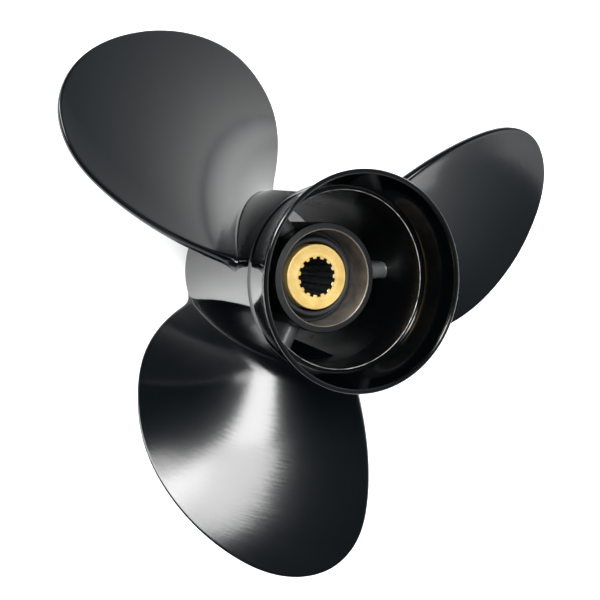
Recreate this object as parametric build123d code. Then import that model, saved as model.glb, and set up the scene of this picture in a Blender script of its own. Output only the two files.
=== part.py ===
from build123d import *
import math
import os

# Outboard boat propeller: three blades, exhaust led out through the hub, rubber-cushioned
# brass drive sleeve.  Millimetres.  Z is the propeller shaft, +Z points aft, and z = 0 is the
# forward thrust face of the brass sleeve.  Blade 1's reference line lies along +X.

# Driving dimensions
DIAMETER = 355.6
BLADE_COUNT = 3
PITCH_AT_HUB = 375.0
PITCH_AT_TIP = 389.0
BARREL_RADIUS = 54.0
BARREL_FORWARD_Z = -12.0
RIM_RADIUS = 59.2
RIM_Z = 136.0
SPAN = DIAMETER / 2 - BARREL_RADIUS

# Exhaust barrel and the diffuser ring pressed into its aft end
BARREL_BORE_RADIUS = 50.0
BARREL_END_CHAMFER = 1.0
SEAM_Z = 102.4
SPIGOT_RADIUS = 52.0
SPIGOT_FORWARD_Z = 92.0
STEP_Z = 112.0
STEP_HEIGHT = 0.5
STEP_OUTER_RADIUS = 51.5
RIM_LIP_THICKNESS = 1.6
RIM_EDGE_ROUND = 0.4
FLARE_TANGENT = (0.35, 1)
STEP_TANGENT = (-0.1, -1)
FLARE_MIDDLE_Z = 119.0
FLARE_MIDDLE_RADIUS = 55.3
FLARE_MIDDLE_BORE = 53.1

# Inner hub and its three ribs
HUB_FORWARD_Z = 2.0
HUB_AFT_Z = 88.4
HUB_AFT_RADIUS = 32.4
HUB_FORWARD_RADIUS = 34.0
HUB_BORE_RADIUS = 28.35
HUB_EDGE_ROUND = 1.2
HUB_MOUTH_CHAMFER = 0.6
RIB_ANGLE_FROM_BLADE = -9.5
RIB_THICKNESS = 10.0
RIB_FORWARD_Z = 12.0
RIB_AFT_Z = 77.0

# Rubber bush bonded to the brass sleeve; its outside grips the hub bore
BUSH_RADIUS = 28.3
BUSH_FORWARD_Z = 6.0
BUSH_SHOULDER_Z = 69.0
BUSH_AFT_Z = 76.3
BUSH_BEAD_RADIUS = 25.0
BUSH_EDGE_ROUND = 1.5

# Brass drive sleeve
SLEEVE_RADIUS = 19.6
SLEEVE_AFT_Z = 77.3
SLEEVE_EDGE_CHAMFER = 0.5
PILOT_BORE_RADIUS = 12.6
PILOT_BORE_LENGTH = 18.0
SPLINE_TEETH = 15
SPLINE_MINOR_RADIUS = 10.8
SPLINE_MAJOR_RADIUS = 12.2
SPLINE_GROOVE_WIDTH = 2.5
SPLINE_CORNER_ROUND = 0.4

# Blade outline seen along the shaft: radius, and angle from the blade's reference line, from
# the root of the leading edge over the tip to the root of the trailing edge
BLADE_OUTLINE = [
    (45.0, -53.0),
    (71.0, -50.9),
    (102.0, -44.0),
    (121.0, -36.3),
    (138.0, -27.9),
    (155.0, -16.3),
    (170.6, -2.4),
    (DIAMETER / 2, 9.7),
    (173.4, 17.0),
    (158.8, 23.1),
    (136.9, 27.5),
    (110.0, 31.5),
    (80.0, 35.9),
    (41.0, 45.6),
]

# Pressure face: height of the reference line above the barrel, its rake, the edge drop and
# the cup along the trailing edge
BLADE_LINE_Z = 48.8
BLADE_RAKE = 0.313
BLADE_RAKE_EASING = 0.00048
BLADE_EDGE_DROP = 4.35
CUP_START = 0.7
CUP_HEIGHT = 12.0

# Blade thickness, largest at mid-chord and all on the forward side; the trailing edge is
# thicker than the mean edge and the leading edge thinner
ROOT_THICKNESS = 12.0
EDGE_THICKNESS = 2.8
EDGE_CHANGE = 0.5
EDGE_BLEND = 1.5
EDGE_ROUND = 1.1
ROOT_FILLET = 5.0
CHORD_HALF_WIDTH = 72.0
CHORD_CENTRE_X = 98.0
CHORD_HALF_LENGTH = 84.0
CHORD_END_SHARE = 0.1
SKEW_START_X = 70.0
SKEW_AT_TIP = 28.0
CHORD_OFFSET = -8.0

# Window over which the two blade faces are laid out
FACE_X = (24.0, 190.0)
FACE_Y = (-82.0, 76.0)
FACE_STEPS = 18
PRISM_DEPTH = 60.0
ON_SURFACE = 0.01


def revolved(profile):
    """Solid of revolution about Z from a closed profile of (radius, z) edges."""
    return revolve(make_face(Plane.XZ * profile), Axis.Z, 360)


def polygon(points):
    return Polyline(*points, close=True)


def chord_share(x, y):
    """Place across a blade: -1 near the leading edge, +1 near the trailing edge."""
    along = (x - CHORD_CENTRE_X) / CHORD_HALF_LENGTH
    half_width = CHORD_HALF_WIDTH * math.sqrt(max(CHORD_END_SHARE, 1 - along**2))
    skew = SKEW_AT_TIP * (max(0.0, x - SKEW_START_X) / (DIAMETER / 2 - SKEW_START_X)) ** 2
    return (y - CHORD_OFFSET - skew) / half_width


def pressure_height(x, y):
    """Height of the aft face of a blade above the point (x, y)."""
    radius = math.hypot(x, y)
    angle = math.atan2(y, x)
    beyond = radius - BARREL_RADIUS
    pitch = PITCH_AT_HUB + (PITCH_AT_TIP - PITCH_AT_HUB) * beyond / SPAN
    line = BLADE_LINE_Z + BLADE_RAKE * beyond - BLADE_RAKE_EASING * beyond**2
    cup = CUP_HEIGHT * max(0.0, chord_share(x, y) - CUP_START) ** 2
    return line + pitch * angle / (2 * math.pi) - BLADE_EDGE_DROP * angle**2 + cup


def thickness(x, y):
    """Vertical thickness of a blade at the point (x, y)."""
    radius = math.hypot(x, y)
    outward = min(1.0, max(0.0, (radius - BARREL_RADIUS) / SPAN))
    across = chord_share(x, y)
    edge = EDGE_THICKNESS + EDGE_CHANGE * math.tanh(EDGE_BLEND * across)
    square = edge + (ROOT_THICKNESS - edge) * (1 - outward) * max(0.0, 1 - across**2)
    slope = PITCH_AT_HUB / (2 * math.pi * radius)
    return square * math.sqrt(1 + slope**2)


def blade_face(height):
    """Smooth surface through height(x, y) over the layout window."""
    rows = []
    for i in range(FACE_STEPS + 1):
        x = FACE_X[0] + (FACE_X[1] - FACE_X[0]) * i / FACE_STEPS
        row = []
        for j in range(FACE_STEPS + 1):
            y = FACE_Y[0] + (FACE_Y[1] - FACE_Y[0]) * j / FACE_STEPS
            row.append(Vector(x, y, height(x, y)))
        rows.append(row)
    return Face.make_surface_from_array_of_points(rows)


def runs_over_barrel(edge):
    """True for an edge where a blade meets the barrel's outside."""
    if edge.geom_type in (GeomType.LINE, GeomType.CIRCLE):
        return False
    samples = [edge @ share for share in (0, 0.5, 1)]
    return all(abs(math.hypot(p.X, p.Y) - BARREL_RADIUS) < ON_SURFACE for p in samples)


def make_blade():
    """Blade 1 with rounded edges and a filleted root, cut off at the barrel's surface."""
    aft_face = blade_face(pressure_height)
    forward_face = blade_face(lambda x, y: pressure_height(x, y) - thickness(x, y))
    below_aft = Solid.extrude(aft_face, Vector(0, 0, -PRISM_DEPTH))
    above_forward = Solid.extrude(forward_face, Vector(0, 0, PRISM_DEPTH))
    points = []
    for radius, angle in BLADE_OUTLINE:
        turn = math.radians(angle)
        points.append((radius * math.cos(turn), radius * math.sin(turn)))
    edge_line = Spline(*points)
    outline = make_face(Curve() + [edge_line, Line(points[-1], points[0])])
    height = RIM_Z - BARREL_FORWARD_Z
    base = Plane.XY.offset(BARREL_FORWARD_Z)
    core = base * Cylinder(BARREL_RADIUS, height, align=(Align.CENTER, Align.CENTER, Align.MIN))
    blade = (below_aft & above_forward & extrude(base * outline, height)).solid()
    long_edges = [edge for edge in blade.edges() if edge.length > SPAN]
    joined = (blade.fillet(EDGE_ROUND, long_edges) + core).solid()
    root_edges = [edge for edge in joined.edges() if runs_over_barrel(edge)]
    return joined.fillet(ROOT_FILLET, root_edges) - core


def make_barrel():
    c = BARREL_END_CHAMFER
    return revolved(polygon([
        (BARREL_BORE_RADIUS + c, BARREL_FORWARD_Z),
        (BARREL_RADIUS - c, BARREL_FORWARD_Z),
        (BARREL_RADIUS, BARREL_FORWARD_Z + c),
        (BARREL_RADIUS, SEAM_Z),
        (SPIGOT_RADIUS, SEAM_Z),
        (SPIGOT_RADIUS, SPIGOT_FORWARD_Z),
        (BARREL_BORE_RADIUS, SPIGOT_FORWARD_Z),
        (BARREL_BORE_RADIUS, BARREL_FORWARD_Z + c),
    ]))


def make_diffuser_ring():
    e = RIM_EDGE_ROUND
    rounded = e * (1 - math.sqrt(0.5))
    lip_radius = RIM_RADIUS - RIM_LIP_THICKNESS
    outside = Spline(
        (BARREL_RADIUS, SEAM_Z),
        (FLARE_MIDDLE_RADIUS, FLARE_MIDDLE_Z),
        (RIM_RADIUS, RIM_Z - e),
        tangents=[(0, 1), FLARE_TANGENT],
    )
    outer_edge = ThreePointArc(
        (RIM_RADIUS, RIM_Z - e),
        (RIM_RADIUS - rounded, RIM_Z - rounded),
        (RIM_RADIUS - e, RIM_Z),
    )
    lip = Line((RIM_RADIUS - e, RIM_Z), (lip_radius + e, RIM_Z))
    inner_edge = ThreePointArc(
        (lip_radius + e, RIM_Z),
        (lip_radius + rounded, RIM_Z - rounded),
        (lip_radius, RIM_Z - e),
    )
    inside = Spline(
        (lip_radius, RIM_Z - e),
        (FLARE_MIDDLE_BORE, FLARE_MIDDLE_Z),
        (STEP_OUTER_RADIUS, STEP_Z + STEP_HEIGHT),
        tangents=[(-FLARE_TANGENT[0], -FLARE_TANGENT[1]), STEP_TANGENT],
    )
    spigot = Polyline(
        (STEP_OUTER_RADIUS, STEP_Z + STEP_HEIGHT),
        (BARREL_BORE_RADIUS, STEP_Z),
        (BARREL_BORE_RADIUS, SPIGOT_FORWARD_Z),
        (SPIGOT_RADIUS, SPIGOT_FORWARD_Z),
        (SPIGOT_RADIUS, SEAM_Z),
        (BARREL_RADIUS, SEAM_Z),
    )
    return revolved(Curve() + [outside, outer_edge, lip, inner_edge, inside, spigot])


def make_inner_hub():
    c = HUB_MOUTH_CHAMFER
    r = HUB_EDGE_ROUND
    rounded = r * (1 - math.sqrt(0.5))
    outside = Line((HUB_FORWARD_RADIUS, HUB_FORWARD_Z), (HUB_AFT_RADIUS, HUB_AFT_Z - r))
    edge = ThreePointArc(
        (HUB_AFT_RADIUS, HUB_AFT_Z - r),
        (HUB_AFT_RADIUS - rounded, HUB_AFT_Z - rounded),
        (HUB_AFT_RADIUS - r, HUB_AFT_Z),
    )
    bore = Polyline(
        (HUB_AFT_RADIUS - r, HUB_AFT_Z),
        (HUB_BORE_RADIUS + c, HUB_AFT_Z),
        (HUB_BORE_RADIUS, HUB_AFT_Z - c),
        (HUB_BORE_RADIUS, HUB_FORWARD_Z + c),
        (HUB_BORE_RADIUS + c, HUB_FORWARD_Z),
        (HUB_FORWARD_RADIUS, HUB_FORWARD_Z),
    )
    return revolved(Curve() + [outside, edge, bore])


def make_rib(angle, inner_hub):
    """Radial web with round forward and aft edges, trimmed to the hub and the barrel bore."""
    length = RIB_AFT_Z - RIB_FORWARD_Z
    middle = (RIB_AFT_Z + RIB_FORWARD_Z) / 2
    section = Plane.YZ * Pos(0, middle) * SlotOverall(length, RIB_THICKNESS, rotation=90)
    web = extrude(section, BARREL_RADIUS)
    tall = 2 * length
    web = web & Pos(0, 0, middle) * Cylinder(BARREL_BORE_RADIUS, tall)
    hub_middle_radius = (HUB_BORE_RADIUS + HUB_AFT_RADIUS) / 2
    hub_space = Pos(0, 0, middle) * Cylinder(hub_middle_radius, tall)
    return Rot(0, 0, angle) * web - hub_space - inner_hub


def make_rubber_bush():
    r = BUSH_EDGE_ROUND
    bead = (BUSH_BEAD_RADIUS - SLEEVE_RADIUS) / 2
    body = Polyline(
        (SLEEVE_RADIUS, BUSH_AFT_Z - bead),
        (SLEEVE_RADIUS, BUSH_FORWARD_Z),
        (BUSH_RADIUS - r, BUSH_FORWARD_Z),
        (BUSH_RADIUS, BUSH_FORWARD_Z + r),
        (BUSH_RADIUS, BUSH_SHOULDER_Z - r),
        (BUSH_RADIUS - r, BUSH_SHOULDER_Z),
        (BUSH_BEAD_RADIUS, BUSH_SHOULDER_Z),
        (BUSH_BEAD_RADIUS, BUSH_AFT_Z - bead),
    )
    crown = ThreePointArc(
        (BUSH_BEAD_RADIUS, BUSH_AFT_Z - bead),
        (BUSH_BEAD_RADIUS - bead, BUSH_AFT_Z),
        (SLEEVE_RADIUS, BUSH_AFT_Z - bead),
    )
    return revolved(Curve() + [body, crown])


def make_spline_sleeve():
    c = SLEEVE_EDGE_CHAMFER
    body = revolved(polygon([
        (SPLINE_MINOR_RADIUS, PILOT_BORE_LENGTH),
        (PILOT_BORE_RADIUS, PILOT_BORE_LENGTH),
        (PILOT_BORE_RADIUS, 0),
        (SLEEVE_RADIUS - c, 0),
        (SLEEVE_RADIUS, c),
        (SLEEVE_RADIUS, SLEEVE_AFT_Z - c),
        (SLEEVE_RADIUS - c, SLEEVE_AFT_Z),
        (SPLINE_MINOR_RADIUS, SLEEVE_AFT_Z),
    ]))
    depth = SPLINE_MAJOR_RADIUS - SPLINE_MINOR_RADIUS
    groove = Pos(SPLINE_MAJOR_RADIUS - depth, 0) * RectangleRounded(
        2 * depth, SPLINE_GROOVE_WIDTH, SPLINE_CORNER_ROUND
    )
    grooves = Sketch() + [
        Rot(0, 0, i * 360 / SPLINE_TEETH) * groove for i in range(SPLINE_TEETH)
    ]
    cutter = extrude(Plane.XY.offset(PILOT_BORE_LENGTH) * grooves, SLEEVE_AFT_Z)
    return body - cutter


inner_hub = make_inner_hub()
nodes = {
    "exhaust_barrel": make_barrel(),
    "diffuser_ring": make_diffuser_ring(),
    "inner_hub": inner_hub,
    "rubber_bush": make_rubber_bush(),
    "spline_sleeve": make_spline_sleeve(),
}
blade = make_blade()
for number in range(BLADE_COUNT):
    turn = number * 360 / BLADE_COUNT
    nodes[f"blade_{number + 1}"] = Rot(0, 0, turn) * blade
    nodes[f"rib_{number + 1}"] = make_rib(turn + RIB_ANGLE_FROM_BLADE, inner_hub)

os.makedirs("parts", exist_ok=True)
for name, shape in nodes.items():
    export_step(shape, f"parts/{name}.step")
    print(name, len(shape.solids()), round(shape.volume))
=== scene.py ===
import math

import bpy
import numpy as np
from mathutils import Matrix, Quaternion, Vector


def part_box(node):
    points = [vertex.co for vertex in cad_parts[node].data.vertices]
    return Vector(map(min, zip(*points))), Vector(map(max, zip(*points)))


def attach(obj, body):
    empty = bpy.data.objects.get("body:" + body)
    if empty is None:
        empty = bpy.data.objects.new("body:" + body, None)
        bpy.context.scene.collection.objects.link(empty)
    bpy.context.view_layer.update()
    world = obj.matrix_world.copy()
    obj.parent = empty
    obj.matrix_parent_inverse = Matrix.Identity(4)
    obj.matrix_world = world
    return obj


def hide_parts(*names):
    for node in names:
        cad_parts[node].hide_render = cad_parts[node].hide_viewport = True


# Looks of the outboard propeller: every CAD node gets a finer mesh of its own in the same place.
# Z is the shaft and +Z points aft. Shapes are worked out in millimetres and scaled to metres.
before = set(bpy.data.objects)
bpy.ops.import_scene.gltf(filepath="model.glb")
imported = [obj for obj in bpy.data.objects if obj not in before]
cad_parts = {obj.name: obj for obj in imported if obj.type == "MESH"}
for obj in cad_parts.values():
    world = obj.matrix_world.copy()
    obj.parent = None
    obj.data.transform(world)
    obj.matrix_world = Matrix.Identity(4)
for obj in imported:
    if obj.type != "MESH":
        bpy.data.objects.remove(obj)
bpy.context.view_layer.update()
MM = 0.001


def corner(node, high, axis):
    """One coordinate of a CAD node's box, in millimetres."""
    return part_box(node)[high][axis] / MM


# ---- sizes read from the frame, in millimetres ----
BARREL_R = corner("exhaust_barrel", 1, 0)
BARREL_FRONT = corner("exhaust_barrel", 0, 2)
SEAM_Z = corner("exhaust_barrel", 1, 2)
RIM_R = corner("diffuser_ring", 1, 0)
RIM_Z = corner("diffuser_ring", 1, 2)
SPIGOT_Z = corner("diffuser_ring", 0, 2)
HUB_FRONT_R = corner("inner_hub", 1, 0)
HUB_FRONT = corner("inner_hub", 0, 2)
HUB_AFT = corner("inner_hub", 1, 2)
BUSH_R = corner("rubber_bush", 1, 0)
BUSH_FRONT = corner("rubber_bush", 0, 2)
BUSH_AFT = corner("rubber_bush", 1, 2)
SLEEVE_R = corner("spline_sleeve", 1, 0)
SLEEVE_AFT = corner("spline_sleeve", 1, 2)

# ---- sizes the boxes don't show, in millimetres ----
BARREL_BORE = 50.0
SPIGOT_R = 52.0
STEP_Z = 112.0
STEP_R = 51.5
SEAM_ROUND = 0.12
RIM_LIP = 1.6
RIM_ROUND = 0.4
RIM_STRAIGHT = 0.5
FLARE_CURVE = 0.95
THROAT_SLOPE = 0.87
# size of the small step face that carries the painted edge highlight
HIGHLIGHT_STEP_WIDTH = 0.2
HIGHLIGHT_STEP_HEIGHT = 0.25
HUB_AFT_R = 32.4
HUB_BORE = 28.35
BEAD_R = 25.0
BUSH_SHOULDER = 69.0
RIB_WIDTH = 10.0
RIB_Z = (12.0, 77.0)
RIB_TURN = -9.5
RIB_FILLET = 2.0
PILOT_R = 12.6
PILOT_DEPTH = 18.0
SPLINE_TEETH = 15
SPLINE_MINOR = 10.8
SPLINE_MAJOR = 12.2
GROOVE_WIDTH = 2.5
GROOVE_ROUND = 0.45
SLEEVE_FACE_R = 16.0

# ---- blade: the same rounded design values as the CAD ----
TIP_R = 177.8
SPAN = TIP_R - BARREL_R
PITCH_AT_HUB = 375.0
PITCH_AT_TIP = 389.0
LINE_Z = 48.8
RAKE = 0.313
RAKE_EASING = 0.00048
EDGE_DROP = 4.35
CUP_START = 0.7
CUP_HEIGHT = 12.0
ROOT_THICK = 12.0
EDGE_THICK = 2.8
EDGE_CHANGE = 0.5
EDGE_BLEND = 1.5
CHORD_MIDDLE = 98.0
CHORD_HALF_LENGTH = 84.0
CHORD_HALF_WIDTH = 72.0
CHORD_END_SHARE = 0.1
CHORD_SHIFT = 8.0
SKEW = 28.0
SKEW_START = 70.0
OUTLINE = [
    (45.0, -53.0), (71.0, -50.9), (102.0, -44.0), (121.0, -36.3), (138.0, -27.9),
    (155.0, -16.3), (170.6, -2.4), (TIP_R, 9.7), (173.4, 17.0), (158.8, 23.1),
    (136.9, 27.5), (110.0, 31.5), (80.0, 35.9), (41.0, 45.6),
]
BLADES = 3

# ---- blade edges and root, which are finer than the CAD's ----
LEAD_NOSE = 1.2
TRAIL_NOSE = 1.7
NOSE_POWER = 2.35
NOSE_POWER_CHANGE = 0.35
NOSE_HEIGHT = 0.1
NOSE_HEIGHT_CHANGE = 0.5
SIDE_GAIN = 1.3
ROOT_ZONE = 11.0
ROOT_SWEEP = 1.5
FACE_FILLET = 1.5
EDGE_FILLET = 7.0
FOOT_SINK = 1.0

# ---- looks shared by several functions ----
STREAK_STRETCH = 0.008
FLOOR_GREY = 0.86
FLOOR_HALF_SIZE = 12.0
LIGHT_TARGET = (0, 0, 0.06)
GLOW_WAY = (0.906, -0.423, 0.0)
WORLD_STRENGTH = 2.6

# ---- fineness of the meshes ----
TURNS = 256
BLADE_COLUMNS = 91
BLADE_ROWS = 101
FLARE_ROWS = 12
NOSE_ROWS = 6
OUTLINE_SAMPLES = 2400

# ---- camera, in metres, degrees and millimetres of lens ----
CAMERA_PLACE = (-0.1973, 0.0722, 0.4852)
CAMERA_TURN = (-5.0, -25.8, -12.925)
CAMERA_LENS = 46.06


# ---------------------------------------------------------------- mesh helpers
def add_piece(name, verts, faces, body, node, materials, face_slots=None, flat_normals=True):
    """Mesh object from millimetre vertices, riding on a body and standing for a CAD node."""
    mesh = bpy.data.meshes.new(name)
    mesh.from_pydata([tuple(c * MM for c in v) for v in verts], [], faces)
    mesh.validate()
    for material in materials:
        mesh.materials.append(material)
    if face_slots is not None:
        mesh.polygons.foreach_set("material_index", face_slots)
    mesh.polygons.foreach_set("use_smooth", [True] * len(mesh.polygons))
    obj = bpy.data.objects.new(name, mesh)
    bpy.context.scene.collection.objects.link(obj)
    if flat_normals:
        obj.modifiers.new("even_shading", "WEIGHTED_NORMAL").weight = 60
    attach(obj, body)
    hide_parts(node)
    return obj


def rounded(points, steps=5):
    """Closed (r, z) profile with each corner (r, z, radius) replaced by an arc.

    slerp returns spokes 1 mm long, so each arc is drawn at 1 mm about the right centre: corners
    with a smaller radius stand proud of the profile, and those with a larger one fall inside it.
    """
    out = []
    count = len(points)
    for i in range(count):
        r, z, radius = points[i]
        here = Vector((r, z))
        if radius == 0:
            out.append((r, z))
            continue
        back = (Vector(points[i - 1][:2]) - here).normalized()
        ahead = (Vector(points[(i + 1) % count][:2]) - here).normalized()
        half = back.angle(ahead) / 2
        reach = radius / math.tan(half)
        centre = here + (back + ahead).normalized() * (radius / math.sin(half))
        start = here + back * reach - centre
        end = here + ahead * reach - centre
        for k in range(steps + 1):
            share = k / steps
            spoke = start.slerp(end, share) if start.angle(end) > 1e-4 else start
            out.append(tuple(centre + spoke))
    return out


def lathe(profile, turns=TURNS):
    """Vertices and faces of a closed (r, z) profile turned about Z."""
    count = len(profile)
    verts = []
    faces = []
    for i in range(turns):
        angle = 2 * math.pi * i / turns
        c, s = math.cos(angle), math.sin(angle)
        verts.extend((r * c, r * s, z) for r, z in profile)
    for i in range(turns):
        a, b = i * count, ((i + 1) % turns) * count
        for k in range(count):
            m = (k + 1) % count
            faces.append((a + k, b + k, b + m, a + m))
    area = 0
    for k in range(count):
        (r, z), (far_r, far_z) = profile[k], profile[(k + 1) % count]
        area += r * far_z - far_r * z
    if area < 0:
        faces = [tuple(reversed(f)) for f in faces]
    return verts, faces


def smooth_line(points, samples):
    """Natural cubic spline through plane points, sampled evenly along its length."""
    pts = np.array(points, float)
    knots = np.r_[0, np.cumsum(np.linalg.norm(np.diff(pts, axis=0), axis=1))]
    gaps = np.diff(knots)
    n = len(pts)
    system = np.eye(n)
    bend = np.zeros((n, 2))
    for i in range(1, n - 1):
        system[i, i - 1:i + 2] = gaps[i - 1], 2 * (gaps[i - 1] + gaps[i]), gaps[i]
        bend[i] = 6 * ((pts[i + 1] - pts[i]) / gaps[i] - (pts[i] - pts[i - 1]) / gaps[i - 1])
    curve = np.linalg.solve(system, bend)
    at = np.linspace(0, knots[-1], samples)
    k = np.clip(np.searchsorted(knots, at, side="right") - 1, 0, n - 2)
    h = gaps[k][:, None]
    a = (knots[k + 1] - at)[:, None] / h
    b = 1 - a
    return a * pts[k] + b * pts[k + 1] + ((a**3 - a) * curve[k] + (b**3 - b) * curve[k + 1]) * h**2 / 6


def resample(line, count):
    """Plane line re-spaced to count points of equal spacing."""
    steps = np.r_[0, np.cumsum(np.linalg.norm(np.diff(line, axis=0), axis=1))]
    at = np.linspace(0, steps[-1], count)
    return np.c_[np.interp(at, steps, line[:, 0]), np.interp(at, steps, line[:, 1])]


# ---------------------------------------------------------------- blade shape
def chord_share(x, y):
    """Place across a blade: -1 near the leading edge, +1 near the trailing edge."""
    along = (x - CHORD_MIDDLE) / CHORD_HALF_LENGTH
    half_width = CHORD_HALF_WIDTH * np.sqrt(np.maximum(CHORD_END_SHARE, 1 - along**2))
    skew = SKEW * (np.maximum(0, x - SKEW_START) / (TIP_R - SKEW_START)) ** 2
    return (y + CHORD_SHIFT - skew) / half_width


def edge_side(x, y):
    """-1 along the leading edge, +1 along the trailing edge, and between them round the tip."""
    return np.clip(SIDE_GAIN * chord_share(x, y), -1, 1)


def pressure_height(radius, angle):
    """Height of the aft face, with its cup along the trailing edge."""
    beyond = radius - BARREL_R
    pitch = PITCH_AT_HUB + (PITCH_AT_TIP - PITCH_AT_HUB) * beyond / SPAN
    cup = np.maximum(0, chord_share(radius * np.cos(angle), radius * np.sin(angle)) - CUP_START)
    return (LINE_Z + RAKE * beyond - RAKE_EASING * beyond**2
            + pitch * angle / (2 * math.pi) - EDGE_DROP * angle**2 + CUP_HEIGHT * cup**2)


def thickness(radius, across):
    """Thickness of a blade measured square to its face."""
    outward = np.clip((radius - BARREL_R) / SPAN, 0, 1)
    edge = EDGE_THICK + EDGE_CHANGE * np.tanh(EDGE_BLEND * across)
    return edge + (ROOT_THICK - edge) * (1 - outward) * np.maximum(0, 1 - across**2)


def blade_point(x, y, share):
    """Point above the plan point (x, y): share 1 is the aft face, -1 the forward one.

    The two faces are matched square to the blade, so its edges stand square to it too.
    """
    radius, angle = math.hypot(x, y), math.atan2(y, x)
    across = chord_share(x, y)
    square = thickness(radius, across)
    step = 0.5 / radius
    climb = pressure_height(radius, angle + step) - pressure_height(radius, angle - step)
    rise = climb / (2 * step * radius)
    upright = 1 / math.sqrt(1 + rise**2)
    side = edge_side(x, y)
    aft_angle = angle - rise * upright * square * (1 + side) / 2 / radius
    down = square * (1 - share) / 2
    turn = aft_angle + rise * upright * down / radius
    height = pressure_height(radius, aft_angle) - down * upright
    return radius * math.cos(turn), radius * math.sin(turn), height


def coons(root, tip, low, high):
    """Grid between four plane curves: root and tip across, low and high edges along."""
    nu, nv = len(root), len(low)
    u = np.linspace(0, 1, nu)[None, :, None]
    v = np.linspace(0, 1, nv)[:, None, None]
    ruled = (1 - v) * root[None] + v * tip[None] + (1 - u) * low[:, None] + u * high[:, None]
    corners = ((1 - u) * (1 - v) * root[0] + u * (1 - v) * root[-1]
               + (1 - u) * v * tip[0] + u * v * tip[-1])
    return ruled - corners


def on_barrel_arc(radius, angle):
    """Plan points at one radius and a row of angles."""
    return radius * np.c_[np.cos(angle), np.sin(angle)]


def blade_strips(insets, flare):
    """Outline moved inwards in steps: each the part beyond the fillet and its two ends in it."""
    polar = [(r * math.cos(math.radians(a)), r * math.sin(math.radians(a))) for r, a in OUTLINE]
    edge = smooth_line(polar, OUTLINE_SAMPLES)
    tangent = np.gradient(edge, axis=0)
    tangent /= np.linalg.norm(tangent, axis=1)[:, None]
    inward = np.c_[-tangent[:, 1], tangent[:, 0]]
    nose = LEAD_NOSE + (TRAIL_NOSE - LEAD_NOSE) * (1 + edge_side(edge[:, 0], edge[:, 1])) / 2
    body_r = BARREL_R + ROOT_ZONE
    strips = []
    for inset in insets:
        line = edge + inward * (inset * nose)[:, None]
        radius = np.hypot(line[:, 0], line[:, 1])
        angle = np.arctan2(line[:, 1], line[:, 0])
        top = int(np.argmax(radius))
        lead = int(np.argmin(np.abs(radius[:top] - body_r)))
        trail = top + int(np.argmin(np.abs(radius[top:] - body_r)))
        back = slice(None, top, -1)
        lead_angle = [np.interp(r, radius[:top], angle[:top]) for r in flare]
        trail_angle = [np.interp(r, radius[back], angle[back]) for r in flare]
        strips.append((line[lead:trail + 1], lead_angle, trail_angle))
    return strips


def blade_grid(strip, flare):
    """Plan points of a blade's face inside its rounded edge, row by row from the barrel out."""
    free, lead_angle, trail_angle = strip
    around = resample(free, BLADE_ROWS + BLADE_COLUMNS + BLADE_ROWS - 2)
    low = around[:BLADE_ROWS]
    tip = around[BLADE_ROWS - 1:BLADE_ROWS + BLADE_COLUMNS - 1]
    high = around[BLADE_ROWS + BLADE_COLUMNS - 2:][::-1]
    ends = math.atan2(low[0, 1], low[0, 0]), math.atan2(high[0, 1], high[0, 0])
    root = on_barrel_arc(BARREL_R + ROOT_ZONE, np.linspace(*ends, BLADE_COLUMNS))
    below = [on_barrel_arc(r, np.linspace(lead, trail, BLADE_COLUMNS))
             for r, lead, trail in zip(flare, lead_angle, trail_angle)]
    return np.concatenate([np.array(below)[::-1], coons(root, tip, low, high)])


def edge_ring(strip, flare):
    """Plan points of one step round the edge, from the leading root to the trailing root."""
    free, lead_angle, trail_angle = strip
    ring = resample(free, BLADE_ROWS + BLADE_COLUMNS + BLADE_ROWS - 2)
    lead_end = [(r * math.cos(a), r * math.sin(a)) for r, a in zip(flare, lead_angle)]
    trail_end = [(r * math.cos(a), r * math.sin(a)) for r, a in zip(flare, trail_angle)]
    return lead_end[::-1] + list(ring) + trail_end


def blade_vertices(grid, insets, rings):
    """Points of the aft face, the forward face and the edge, with the place of each in the list.

    Keys are ("a" or "f", row, column) on the faces and ("A" or "F", step, place) round the edge.
    """
    verts = []
    index = {}

    def put(key, x, y, share):
        index[key] = len(verts)
        verts.append(blade_point(x, y, share))

    for j, row in enumerate(grid):
        for i, (x, y) in enumerate(row):
            put(("a", j, i), x, y, 1.0)
            put(("f", j, i), x, y, -1.0)
    for n, (inset, ring) in enumerate(zip(insets, rings)):
        for b, (x, y) in enumerate(ring):
            side = edge_side(x, y)
            power = NOSE_POWER + NOSE_POWER_CHANGE * side
            share = (1 - (1 - inset) ** power) ** (1 / power)
            middle = NOSE_HEIGHT - NOSE_HEIGHT_CHANGE * side
            put(("A", n, b), x, y, middle + (1 - middle) * share)
            if n == 0:
                index[("F", n, b)] = index[("A", n, b)]
            else:
                put(("F", n, b), x, y, middle - (1 + middle) * share)
    return np.array(verts), index


def blade_faces(index, border, total_rows):
    """Faces between the points of blade_vertices, open at the root."""
    faces = []
    for j in range(total_rows - 1):
        for i in range(BLADE_COLUMNS - 1):
            quad = [(j, i), (j, i + 1), (j + 1, i + 1), (j + 1, i)]
            faces.append([index[("a",) + q] for q in reversed(quad)])
            faces.append([index[("f",) + q] for q in quad])
    for b in range(len(border) - 1):
        for n in range(NOSE_ROWS):
            for near, far, flip in (("A", "a", False), ("F", "f", True)):
                p, q = index[(near, n, b)], index[(near, n, b + 1)]
                if n + 1 < NOSE_ROWS:
                    r, s = index[(near, n + 1, b + 1)], index[(near, n + 1, b)]
                else:
                    r, s = index[(far,) + border[b + 1]], index[(far,) + border[b]]
                faces.append([s, r, q, p] if flip else [p, q, r, s])
    return faces


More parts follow.
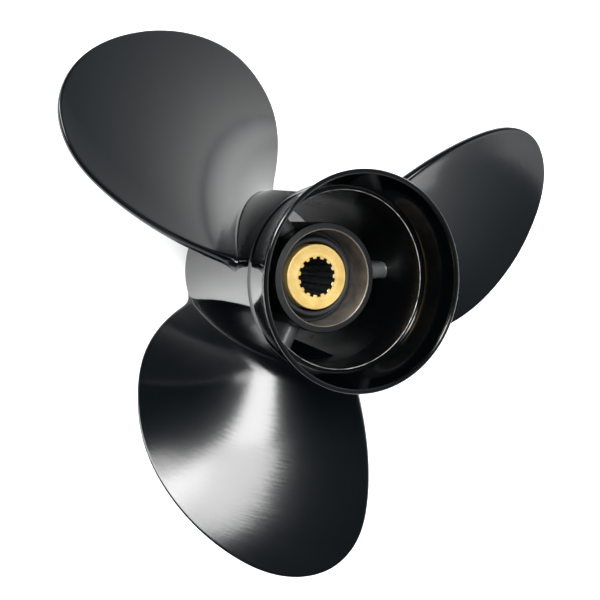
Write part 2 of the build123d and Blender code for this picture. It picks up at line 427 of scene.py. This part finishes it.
def sunk_foot(points, index, last_place):
    """Root loop of a blade, and the same loop moved a little way into the barrel."""
    steps = range(1, NOSE_ROWS)
    columns = range(BLADE_COLUMNS)
    keys = [("a", 0, i) for i in columns]
    keys += [("A", n, last_place) for n in reversed(steps)]
    keys += [("A", 0, last_place)]
    keys += [("F", n, last_place) for n in steps]
    keys += [("f", 0, i) for i in reversed(columns)]
    keys += [("F", n, 0) for n in reversed(steps)]
    keys += [("A", 0, 0)]
    keys += [("A", n, 0) for n in steps]
    foot = [index[key] for key in keys]
    sunk = points[foot].copy()
    shrink = (BARREL_R - FOOT_SINK) / np.hypot(sunk[:, 0], sunk[:, 1])
    sunk[:, :2] *= shrink[:, None]
    return foot, sunk


def blade_mesh(turn):
    """Blade with a full round edge and a fillet that runs out on the barrel."""
    insets = [1 - math.cos(math.pi / 2 * k / NOSE_ROWS) for k in range(NOSE_ROWS + 1)]
    flare = [BARREL_R + ROOT_ZONE * (1 - math.sin(math.pi / 2 * k / FLARE_ROWS))
             for k in range(1, FLARE_ROWS + 1)]
    *outer, innermost = blade_strips(insets, flare)
    grid = blade_grid(innermost, flare)
    rings = [edge_ring(strip, flare) for strip in outer]
    rows = BLADE_ROWS + FLARE_ROWS
    border = [(j, 0) for j in range(rows)]
    border += [(rows - 1, i) for i in range(1, BLADE_COLUMNS)]
    border += [(j, BLADE_COLUMNS - 1) for j in range(rows - 2, -1, -1)]
    points, index = blade_vertices(grid, insets[:-1], rings)
    faces = blade_faces(index, border, rows)
    points = flared(points, faces)
    foot, sunk = sunk_foot(points, index, len(border) - 1)
    base = len(points)
    points = np.concatenate([points, sunk])
    for k in range(len(foot)):
        m = (k + 1) % len(foot)
        faces.append([foot[k], foot[m], base + m, base + k])
    faces.append([base + k for k in range(len(foot))])
    points[:, 2] = np.maximum(points[:, 2], BARREL_FRONT)
    c, s = math.cos(turn), math.sin(turn)
    points[:, :2] = points[:, :2] @ np.array([[c, s], [-s, c]])
    return points.tolist(), faces


def fillet_reach(depth, size):
    """How far a fillet of that radius stands out at a depth above the barrel."""
    share = np.clip(depth / size, 0, 1)
    return size * (1 - np.sqrt(np.maximum(0, 1 - (1 - share) ** 2)))


def flared(points, faces):
    """Root points moved sideways along the barrel, so that the blade meets it in a fillet."""
    normals = np.zeros_like(points)
    for face in faces:
        p = points[list(face)]
        n = np.cross(p[2] - p[0], p[3] - p[1])
        for v in face:
            normals[v] += n
    radius = np.hypot(points[:, 0], points[:, 1])
    radial = np.c_[points[:, 0] / radius, points[:, 1] / radius, np.zeros(len(points))]
    side = normals - (normals * radial).sum(1)[:, None] * radial
    side /= np.maximum(np.linalg.norm(side, axis=1), 1e-9)[:, None]
    chord = np.c_[-points[:, 1], points[:, 0], np.zeros(len(points))] / radius[:, None]
    chord[:, 2] = PITCH_AT_HUB / (2 * math.pi * BARREL_R)
    chord /= np.linalg.norm(chord, axis=1)[:, None]
    on_edge = (side * chord).sum(1) ** 4
    depth = np.maximum(0, radius - BARREL_R)
    sweep = ROOT_SWEEP * np.maximum(0, 1 - depth / ROOT_ZONE) ** 2
    on_face = sweep + fillet_reach(depth, FACE_FILLET)
    reach = (1 - on_edge) * on_face + on_edge * fillet_reach(depth, EDGE_FILLET)
    moved = points + side * reach[:, None]
    keep = radius / np.maximum(np.hypot(moved[:, 0], moved[:, 1]), 1e-9)
    moved[:, :2] *= keep[:, None]
    return moved


# ---------------------------------------------------------------- materials
class Nodes:
    """Small wrapper that adds and links a material's nodes."""

    def __init__(self, name):
        self.material = bpy.data.materials.new(name)
        self.material.use_nodes = True
        self.tree = self.material.node_tree
        self.shader = self.tree.nodes["Principled BSDF"]

    def add(self, kind, inputs=(), **settings):
        node = self.tree.nodes.new("ShaderNode" + kind)
        for key, value in settings.items():
            setattr(node, key, value)
        for key, value in dict(inputs).items():
            if isinstance(value, bpy.types.NodeSocket):
                self.tree.links.new(value, node.inputs[key])
            else:
                node.inputs[key].default_value = value
        return node

    def set(self, **values):
        for key, value in values.items():
            self.shader.inputs[key.replace("_", " ")].default_value = value

    def drive(self, socket, source):
        self.tree.links.new(source, self.shader.inputs[socket])

    def place(self):
        return self.add("TexCoord").outputs["Object"]

    def noise(self, scale, detail=4.0, roughness=0.5, vector=None):
        vector = vector or self.place()
        return self.add("TexNoise", {"Vector": vector, "Scale": scale, "Detail": detail,
                                     "Roughness": roughness}).outputs["Fac"]

    def span(self, value, low, high, out_low, out_high):
        return self.add("MapRange", {"Value": value, "From Min": low, "From Max": high,
                                     "To Min": out_low, "To Max": out_high}).outputs["Result"]

    def bump(self, height, distance, strength=1.0, normal=None):
        inputs = {"Height": height, "Distance": distance, "Strength": strength}
        if normal:
            inputs["Normal"] = normal
        return self.add("Bump", inputs).outputs["Normal"]


def black_paint(name, base, roughness, peel_depth, streak_depth=0.0):
    """Sprayed black over a casting: slight waves, orange peel and rubbed streaks round the shaft."""
    m = Nodes(name)
    m.set(IOR=1.5)
    place = m.place()
    cloud = m.noise(16.0, 4.0, vector=place)
    m.drive("Roughness", m.span(cloud, 0.0, 1.0, roughness * 0.75, roughness * 1.25))
    tint = m.add("ValToRGB", {"Fac": cloud})
    tint.color_ramp.elements[0].color = (*[c * 0.6 for c in base], 1)
    tint.color_ramp.elements[1].color = (*[c * 1.4 for c in base], 1)
    m.drive("Base Color", tint.outputs["Color"])
    radius, part = radius_of(m, place)
    sides = {0: part.outputs["Y"], 1: part.outputs["X"]}
    angle = m.add("Math", sides, operation="ARCTAN2").outputs["Value"]
    swept = m.add("Math", {0: angle, 1: STREAK_STRETCH}, operation="MULTIPLY").outputs["Value"]
    around = m.add("CombineXYZ", {"X": radius, "Y": swept, "Z": 0.0}).outputs["Vector"]
    shape = m.bump(m.noise(40.0, 1.0, vector=place), 0.0004, 0.15)
    shape = m.bump(m.noise(420.0, 2.0, vector=place), peel_depth, 1.0, shape)
    if streak_depth:
        shape = m.bump(m.noise(700.0, 2.0, vector=around), streak_depth, 1.0, shape)
    m.drive("Normal", shape)
    return m.material


def edge_highlight_nicks(name):
    """Corner coloured light grey in a few broken nicks: a painted edge highlight."""
    m = Nodes(name)
    nicks = m.noise(230.0, 4.0, 0.7)
    tint = m.add("ValToRGB", {"Fac": nicks})
    tint.color_ramp.elements[0].position = 0.35
    tint.color_ramp.elements[0].color = (0.012, 0.013, 0.014, 1)
    tint.color_ramp.elements[1].position = 0.75
    tint.color_ramp.elements[1].color = (0.5, 0.5, 0.49, 1)
    m.drive("Base Color", tint.outputs["Color"])
    m.drive("Roughness", m.span(nicks, 0.3, 0.7, 0.5, 0.3))
    return m.material


def matte_face(name):
    """Turned aft face of the inner hub under a thin dull coat."""
    m = Nodes(name)
    m.set(Base_Color=(0.006, 0.0068, 0.0072, 1), Metallic=0.1)
    speck = m.noise(900.0, 3.0)
    m.drive("Roughness", m.span(speck, 0.3, 0.7, 0.42, 0.6))
    m.drive("Normal", m.bump(speck, 0.00008, 0.5))
    return m.material


def radius_of(m, vector):
    """Distance from the shaft axis, and the node that splits the place into X, Y and Z."""
    part = m.add("SeparateXYZ", {"Vector": vector})
    flat = m.add("CombineXYZ", {"X": part.outputs["X"], "Y": part.outputs["Y"], "Z": 0.0})
    return m.add("VectorMath", {0: flat.outputs["Vector"]}, operation="LENGTH").outputs["Value"], part


def machined_bore(name):
    """Bare bored aluminium gone slightly brown, with fine turning marks round it."""
    m = Nodes(name)
    place = m.place()
    _, part = radius_of(m, place)
    marks = m.add("CombineXYZ", {"X": 0.0, "Y": 0.0, "Z": part.outputs["Z"]}).outputs["Vector"]
    rings = m.noise(2600.0, 2.0, vector=marks)
    stain = m.noise(60.0, 4.0)
    tint = m.add("ValToRGB", {"Fac": stain})
    tint.color_ramp.elements[0].position = 0.3
    tint.color_ramp.elements[0].color = (0.06, 0.053, 0.046, 1)
    tint.color_ramp.elements[1].position = 0.75
    tint.color_ramp.elements[1].color = (0.22, 0.205, 0.18, 1)
    m.set(Metallic=0.6)
    m.drive("Base Color", tint.outputs["Color"])
    m.drive("Roughness", m.span(rings, 0.3, 0.7, 0.34, 0.55))
    m.drive("Normal", m.bump(rings, 0.00004, 0.6))
    return m.material


def rubber(name):
    """Moulded black rubber with a dull bloom."""
    m = Nodes(name)
    grain = m.noise(1500.0, 3.0)
    bloom = m.noise(120.0, 4.0)
    tint = m.add("ValToRGB", {"Fac": bloom})
    tint.color_ramp.elements[0].color = (0.004, 0.0045, 0.005, 1)
    tint.color_ramp.elements[1].color = (0.014, 0.015, 0.016, 1)
    m.drive("Base Color", tint.outputs["Color"])
    m.drive("Roughness", m.span(bloom, 0.3, 0.7, 0.38, 0.62))
    m.drive("Normal", m.bump(grain, 0.00006, 0.5, m.bump(bloom, 0.0004, 0.4)))
    return m.material


def turned_brass(name):
    """Faced brass with concentric tool marks and slight tarnish."""
    m = Nodes(name)
    place = m.place()
    radius, _ = radius_of(m, place)
    along = m.add("CombineXYZ", {"X": radius, "Y": 0.0, "Z": 0.0}).outputs["Vector"]
    rings = m.noise(1400.0, 3.0, vector=along)
    bands = m.noise(260.0, 2.0, vector=along)
    stain = m.noise(90.0, 5.0)
    mixed = m.add("Math", {0: bands, 1: stain}, operation="ADD").outputs["Value"]
    tint = m.add("ValToRGB", {"Fac": m.span(mixed, 0.75, 1.25, 0.0, 1.0)})
    tint.color_ramp.elements[0].color = (0.66, 0.42, 0.11, 1)
    tint.color_ramp.elements[1].color = (0.92, 0.70, 0.28, 1)
    m.set(Metallic=0.75)
    m.drive("Base Color", tint.outputs["Color"])
    m.drive("Roughness", m.span(rings, 0.3, 0.7, 0.34, 0.5))
    m.drive("Normal", m.bump(rings, 0.00005, 0.5))
    return m.material


def painted_shade_bore(name):
    """Inside of the splined bore coloured near black: painted shade for a bore that the light hardly
    reaches.
    """
    m = Nodes(name)
    streak = m.noise(300.0, 3.0)
    m.set(Base_Color=(0.012, 0.015, 0.016, 1), Metallic=0.3)
    m.drive("Roughness", m.span(streak, 0.3, 0.7, 0.3, 0.5))
    m.drive("Normal", m.bump(streak, 0.0001, 0.3))
    return m.material


CASTING_PAINT = black_paint("casting_paint", (0.0003, 0.0006, 0.0009), 0.04, 0.000002)
INNER_PAINT = black_paint("inner_paint", (0.0008, 0.001, 0.0012), 0.26, 0.00001)
# the ribs take a lighter grey copy of the black casting paint: painted light for the light they catch
RIB_LIT_PAINT = black_paint("rib_painted_light", (0.028, 0.029, 0.03), 0.38, 0.00003)
BLADE_PAINT = black_paint("blade_paint", (0.0004, 0.0009, 0.0013), 0.14, 0.000012, 0.000012)
RING_PAINT = black_paint("ring_paint", (0.0003, 0.0006, 0.0008), 0.09, 0.000003)
# light grey nicks on the ring's step line: a painted edge highlight
EDGE_HIGHLIGHT_PAINT = edge_highlight_nicks("painted_edge_highlight")
HUB_FACE = matte_face("hub_face")
BORE_METAL = machined_bore("bore_metal")
BUSH_RUBBER = rubber("bush_rubber")
SLEEVE_BRASS = turned_brass("sleeve_brass")
# near-black inside of the brass sleeve: painted shade
SPLINE_SHADE_PAINT = painted_shade_bore("spline_painted_shade")


# ---------------------------------------------------------------- pieces
def profile_slots(profile, choose):
    """Material slot of every lathed face, chosen at the middle of its profile segment."""
    around = []
    for k, (r, z) in enumerate(profile):
        far_r, far_z = profile[(k + 1) % len(profile)]
        around.append(choose((r + far_r) / 2, (z + far_z) / 2))
    return around * TURNS


def build_barrel():
    """Barrel with small rounded ends and the counterbore that takes the ring."""
    profile = rounded([
        (BARREL_BORE + 1.0, BARREL_FRONT, 0.3),
        (BARREL_R - 0.2, BARREL_FRONT, 0.9),
        (BARREL_R, BARREL_FRONT + 2.0, 0),
        (BARREL_R, SEAM_Z, SEAM_ROUND),
        (SPIGOT_R, SEAM_Z, 0),
        (SPIGOT_R, SPIGOT_Z, 0),
        (BARREL_BORE, SPIGOT_Z, 0.1),
        (BARREL_BORE, BARREL_FRONT + 1.0, 0.3),
    ])
    slots = profile_slots(profile, lambda r, z: 1 if r < BARREL_BORE + 0.3 else 0)
    verts, faces = lathe(profile)
    add_piece("exhaust_barrel_casting", verts, faces, "propeller", "exhaust_barrel",
              [CASTING_PAINT, INNER_PAINT], slots)


def build_ring():
    """Flared ring: its outside, the rim lip, the throat, the step line with its painted edge highlight
    and the spigot.
    """
    outer_z = np.linspace(SEAM_Z, RIM_Z - RIM_STRAIGHT, 22)[1:]
    outer = []
    for z in outer_z:
        k = (z - SEAM_Z) / (RIM_Z - RIM_STRAIGHT - SEAM_Z)
        bell = FLARE_CURVE * k**2 + (1 - FLARE_CURVE) * k**3
        outer.append((BARREL_R + (RIM_R - BARREL_R) * bell, z, 0))
    inner_z = np.linspace(RIM_Z - RIM_STRAIGHT, STEP_Z + RIM_STRAIGHT, 18)[:-1]
    inner = []
    for z in inner_z:
        k = (z - STEP_Z - RIM_STRAIGHT) / (RIM_Z - STEP_Z - 2 * RIM_STRAIGHT)
        bell = THROAT_SLOPE * k + (1 - THROAT_SLOPE) * k**2
        inner.append((STEP_R + (RIM_R - RIM_LIP - STEP_R) * bell, z, 0))
    # step face coloured with the painted edge highlight
    highlight_step_r = BARREL_BORE + HIGHLIGHT_STEP_WIDTH
    highlight_step_z = STEP_Z - HIGHLIGHT_STEP_HEIGHT
    profile = rounded(
        [(BARREL_R, SEAM_Z, SEAM_ROUND)] + outer
        + [(RIM_R, RIM_Z, RIM_ROUND), (RIM_R - RIM_LIP, RIM_Z, RIM_ROUND)]
        + inner
        + [(STEP_R, STEP_Z + 0.35, 0.15), (highlight_step_r, STEP_Z, 0), (BARREL_BORE, highlight_step_z, 0),
           (BARREL_BORE, SPIGOT_Z, 0.1), (SPIGOT_R, SPIGOT_Z, 0), (SPIGOT_R, SEAM_Z, 0)]
    )

    def paint(r, z):
        """Slot 2 on the step line, which carries a painted edge highlight, 1 ahead of the step and 0
        on the rest.
        """
        if BARREL_BORE < r < highlight_step_r and highlight_step_z < z < STEP_Z:
            return 2
        return 1 if r < STEP_R + 0.1 and z < STEP_Z else 0

    verts, faces = lathe(profile)
    add_piece("diffuser_ring_flared", verts, faces, "propeller", "diffuser_ring",
              [RING_PAINT, INNER_PAINT, EDGE_HIGHLIGHT_PAINT], profile_slots(profile, paint))


def build_hub():
    """Inner hub with its turned aft face and bare machined bore."""
    chamfer = 0.4
    profile = rounded([
        (HUB_FRONT_R, HUB_FRONT, 0.8),
        (HUB_AFT_R, HUB_AFT, 0.9),
        (HUB_BORE + chamfer, HUB_AFT, 0.3),
        (HUB_BORE, HUB_AFT - 0.6, 0),
        (HUB_BORE, HUB_FRONT, 0.4),
    ])

    def paint(r, z):
        """Slot 2 in the bore, 1 on the aft face and 0 outside."""
        if r < HUB_BORE + chamfer + 0.01:
            return 2
        return 1 if z > HUB_AFT - 0.3 and r < HUB_AFT_R - 0.3 else 0

    verts, faces = lathe(profile)
    add_piece("inner_hub_tube", verts, faces, "propeller", "inner_hub",
              [INNER_PAINT, HUB_FACE, BORE_METAL], profile_slots(profile, paint))


def build_rib(number):
    """Round-edged web whose ends flare out onto the hub and the barrel bore."""
    half, around, steps = RIB_WIDTH / 2, 12, 8
    low, high = RIB_Z[0] + half, RIB_Z[1] - half
    outline = []
    for middle, sign in ((high, 1), (low, -1)):
        for k in range(around + 1):
            a = math.pi * k / around
            outline.append((sign * math.cos(a), sign * math.sin(a), middle))
    hub_r = HUB_AFT_R - 0.2
    levels = [(hub_r - 1.0, RIB_FILLET)]
    for k in range(steps + 1):
        a = math.pi / 2 * k / steps
        levels.append((hub_r + RIB_FILLET * (1 - math.cos(a)), RIB_FILLET * (1 - math.sin(a))))
    for k in range(steps + 1):
        a = math.pi / 2 * k / steps
        levels.append((BARREL_BORE - RIB_FILLET * (1 - math.sin(a)), RIB_FILLET * (1 - math.cos(a))))
    levels.append((BARREL_BORE + 1.0, RIB_FILLET))
    verts = []
    turn = math.radians(RIB_TURN + 360 / BLADES * number)
    c, s = math.cos(turn), math.sin(turn)
    for r, out in levels:
        for across, up, middle in outline:
            side = (half + out) * across
            x = math.sqrt(r**2 - side**2)
            verts.append((x * c - side * s, x * s + side * c, middle + (half + out) * up))
    count = len(outline)
    faces = [tuple(reversed(range(count)))]
    for j in range(len(levels) - 1):
        near, far = j * count, (j + 1) * count
        for k in range(count):
            m = (k + 1) % count
            faces.append((near + k, near + m, far + m, far + k))
    faces.append(tuple(range((len(levels) - 1) * count, len(levels) * count)))
    # the web wears the lighter copy of the casting paint, which is painted light
    add_piece(f"rib_{number + 1}_web", verts, faces, "propeller", f"rib_{number + 1}",
              [RIB_LIT_PAINT])


def build_blade(number):
    """One of the three equal blades, turned to its place."""
    verts, faces = blade_mesh(2 * math.pi / BLADES * number)
    add_piece(f"blade_{number + 1}_cast", verts, faces, "propeller", f"blade_{number + 1}",
              [BLADE_PAINT], flat_normals=False)


def build_bush():
    """Rubber bush: its body, the shoulder inside the hub and the bead round the brass."""
    bead = (BEAD_R - SLEEVE_R) / 2
    profile = rounded([
        (SLEEVE_R, BUSH_FRONT, 0.3),
        (BUSH_R, BUSH_FRONT, 1.5),
        (BUSH_R, BUSH_SHOULDER, 1.3),
        (BEAD_R + 0.6, BUSH_SHOULDER - 0.6, 0.5),
        (BEAD_R - 0.1, BUSH_AFT, bead - 0.4),
        (SLEEVE_R, BUSH_AFT, bead - 0.3),
    ], steps=8)
    verts, faces = lathe(profile)
    add_piece("rubber_bush_moulded", verts, faces, "drive_hub", "rubber_bush",
              [BUSH_RUBBER])


def spline_outline():
    """Bore outline with round-cornered grooves, counter-clockwise."""
    half = GROOVE_WIDTH / 2
    side = math.sqrt(SPLINE_MINOR**2 - half**2)
    depth = math.sqrt(SPLINE_MAJOR**2 - half**2)
    start = math.asin(half / SPLINE_MINOR)
    gap = 2 * math.pi / SPLINE_TEETH - 2 * start
    shape = [(side + 0.1, -half)]
    for y, first in ((-half + GROOVE_ROUND, -math.pi / 2), (half - GROOVE_ROUND, 0.0)):
        for k in range(5):
            a = first + math.pi / 2 * k / 4
            x = depth - GROOVE_ROUND + GROOVE_ROUND * math.cos(a)
            shape.append((x, y + GROOVE_ROUND * math.sin(a)))
    shape.append((side + 0.1, half))
    for k in range(1, 6):
        a = start + gap * k / 6
        shape.append((SPLINE_MINOR * math.cos(a), SPLINE_MINOR * math.sin(a)))
    points = []
    for tooth in range(SPLINE_TEETH):
        turn = 2 * math.pi * tooth / SPLINE_TEETH
        c, s = math.cos(turn), math.sin(turn)
        points += [(x * c - y * s, x * s + y * c) for x, y in shape]
    return points


def build_sleeve():
    """Brass sleeve as a closed run of loops: up the bore, over the aft face, down and back in."""
    outline = spline_outline()
    count = len(outline)
    spokes = [math.atan2(y, x) for x, y in outline]

    def ring(radius, z):
        return [(radius * math.cos(a), radius * math.sin(a), z) for a in spokes]

    def bore(grow, z):
        scale = [1 + grow / math.hypot(x, y) for x, y in outline]
        return [(x * k, y * k, z) for (x, y), k in zip(outline, scale)]

    loops = [
        bore(0.0, PILOT_DEPTH), bore(0.0, SLEEVE_AFT - 0.4), bore(0.08, SLEEVE_AFT - 0.12),
        bore(0.25, SLEEVE_AFT), bore(0.6, SLEEVE_AFT),
        ring(SPLINE_MAJOR + 1.2, SLEEVE_AFT), ring(SLEEVE_FACE_R, SLEEVE_AFT),
        ring(SLEEVE_R - 0.9, SLEEVE_AFT), ring(SLEEVE_R - 0.5, SLEEVE_AFT),
        ring(SLEEVE_R - 0.15, SLEEVE_AFT - 0.15),
        ring(SLEEVE_R, SLEEVE_AFT - 0.5), ring(SLEEVE_R, SLEEVE_AFT - 1.0), ring(SLEEVE_R, 1.0),
        ring(SLEEVE_R, 0.5), ring(SLEEVE_R - 0.5, 0.0), ring(SLEEVE_R - 1.0, 0.0),
        ring(PILOT_R + 0.3, 0.0), ring(PILOT_R, 0.05), ring(PILOT_R, 1.0),
        ring(PILOT_R, PILOT_DEPTH - 0.1), ring(PILOT_R - 0.1, PILOT_DEPTH),
    ]
    # the bore and pilot loops take slot 1, the painted shade inside the sleeve
    shade_from = len(loops) - 4
    verts = [v for loop in loops for v in loop]
    faces, slots = [], []
    for j in range(len(loops)):
        n = (j + 1) % len(loops)
        for k in range(count):
            m = (k + 1) % count
            faces.append((j * count + k, n * count + k, n * count + m, j * count + m))
            slots.append(1 if j < 2 or j > shade_from else 0)
    add_piece("spline_sleeve_turned", verts, faces, "drive_hub", "spline_sleeve",
              [SLEEVE_BRASS, SPLINE_SHADE_PAINT], slots)


build_barrel()
build_ring()
build_hub()
build_bush()
build_sleeve()
for number in range(BLADES):
    build_blade(number)
    build_rib(number)


# ---------------------------------------------------------------- floor, light and camera
def build_floor():
    """Plain pale floor under the barrel's forward face."""
    size, z = FLOOR_HALF_SIZE, BARREL_FRONT * MM
    mesh = bpy.data.meshes.new("floor")
    corners = [(-size, -size, z), (size, -size, z), (size, size, z), (-size, size, z)]
    mesh.from_pydata(corners, [], [(0, 1, 2, 3)])
    floor = bpy.data.objects.new("floor", mesh)
    bpy.context.scene.collection.objects.link(floor)
    m = Nodes("floor_white")
    m.set(Base_Color=(FLOOR_GREY, FLOOR_GREY, FLOOR_GREY, 1), Roughness=0.9)
    mesh.materials.append(m.material)


def area_light(name, azimuth, elevation, distance, size, radiance, lean=0.0, glossy=True):
    """Soft box at a bearing from the propeller, facing it; lean tips its top to lower azimuths."""
    az, el = math.radians(azimuth), math.radians(elevation)
    way = Vector((math.cos(el) * math.cos(az), math.cos(el) * math.sin(az), math.sin(el)))
    light = bpy.data.lights.new(name, "AREA")
    light.shape = "RECTANGLE"
    light.size, light.size_y = size
    light.energy = radiance * 4 * size[0] * size[1]
    lamp = bpy.data.objects.new(name, light)
    lamp.location = Vector(LIGHT_TARGET) + way * distance
    turn = way.to_track_quat("Z", "Y") @ Quaternion((0, 0, 1), math.radians(lean))
    lamp.rotation_euler = turn.to_euler()
    lamp.visible_glossy = glossy
    bpy.context.scene.collection.objects.link(lamp)


def world_ramp(tree, source, stops):
    """Grey levels by the height of a world direction; each stop is (height, level, blue)."""
    ramp = tree.nodes.new("ShaderNodeValToRGB")
    elements = ramp.color_ramp.elements
    while len(elements) < len(stops):
        elements.new(0.5)
    for element, (at, level, blue) in zip(elements, stops):
        element.position = at
        element.color = (level * (1 - blue), level, level * (1 + blue / 2), 1)
    tree.links.new(source, ramp.inputs["Fac"])
    return ramp.outputs["Color"]


def build_world():
    """Dark studio with a glow round the horizon that is wider behind the leading side."""
    world = bpy.data.worlds.new("studio")
    bpy.context.scene.world = world
    world.use_nodes = True
    tree = world.node_tree
    way = tree.nodes.new("ShaderNodeTexCoord").outputs["Generated"]
    part = tree.nodes.new("ShaderNodeSeparateXYZ")
    tree.links.new(way, part.inputs["Vector"])
    glow = world_ramp(tree, part.outputs["Z"], [
        (0.0, 0.85, 0.0), (0.17, 0.62, 0.0), (0.32, 0.42, 0.03),
        (0.5, 0.26, 0.08), (0.66, 0.12, 0.1), (1.0, 0.12, 0.1),
    ])
    dark = world_ramp(tree, part.outputs["Z"], [
        (0.0, 0.26, 0.0), (0.1, 0.16, 0.05), (0.22, 0.05, 0.12),
        (0.5, 0.02, 0.15), (0.8, 0.025, 0.15), (1.0, 0.05, 0.1),
    ])
    toward = tree.nodes.new("ShaderNodeVectorMath")
    toward.operation = "DOT_PRODUCT"
    toward.inputs[1].default_value = GLOW_WAY
    tree.links.new(way, toward.inputs[0])
    share = tree.nodes.new("ShaderNodeMapRange")
    share.interpolation_type = "SMOOTHSTEP"
    share.inputs["From Min"].default_value = -0.2
    share.inputs["From Max"].default_value = 0.55
    tree.links.new(toward.outputs["Value"], share.inputs["Value"])
    mix = tree.nodes.new("ShaderNodeMix")
    mix.data_type = "RGBA"
    colour_a, colour_b, colour_out = mix.inputs[6], mix.inputs[7], mix.outputs[2]
    tree.links.new(share.outputs["Result"], mix.inputs["Factor"])
    tree.links.new(dark, colour_a)
    tree.links.new(glow, colour_b)
    background = tree.nodes["Background"]
    tree.links.new(colour_out, background.inputs["Color"])
    background.inputs["Strength"].default_value = WORLD_STRENGTH


def build_camera():
    """Camera above the aft end, turned to match the picture's framing."""
    camera = bpy.data.cameras.new("camera")
    camera.lens = CAMERA_LENS
    camera.sensor_width = 36.0
    camera.clip_start = 0.01
    holder = bpy.data.objects.new("camera", camera)
    holder.location = CAMERA_PLACE
    holder.rotation_euler = [math.radians(a) for a in CAMERA_TURN]
    bpy.context.scene.collection.objects.link(holder)
    bpy.context.scene.camera = holder


def build_lights():
    """A tall bright strip that the blades reflect, low glows behind, and two fills for the floor."""
    area_light("strip_low", 122, 39.1, 3.0, (0.62, 1.6), 18.5, lean=9)
    area_light("strip_foot", 113, 26, 3.0, (0.4, 0.5), 6)
    area_light("strip_high", 114, 63, 3.0, (0.8, 1.0), 13.5, lean=18)
    area_light("strip_edge", 97, 63, 3.1, (0.5, 0.7), 8, lean=14)
    area_light("side_glow_low", -42, 8, 3.0, (1.2, 1.0), 1.4)
    area_light("back_top", -30, 36, 2.4, (1.2, 0.8), 1.2)
    area_light("overhead", 150, 80, 1.8, (1.8, 1.8), 6.5, glossy=False)
    area_light("key_fill", 125, 55, 2.2, (1.0, 1.0), 8.0, glossy=False)


build_floor()
build_world()
build_lights()
build_camera()
bpy.context.scene.view_settings.view_transform = "Standard"
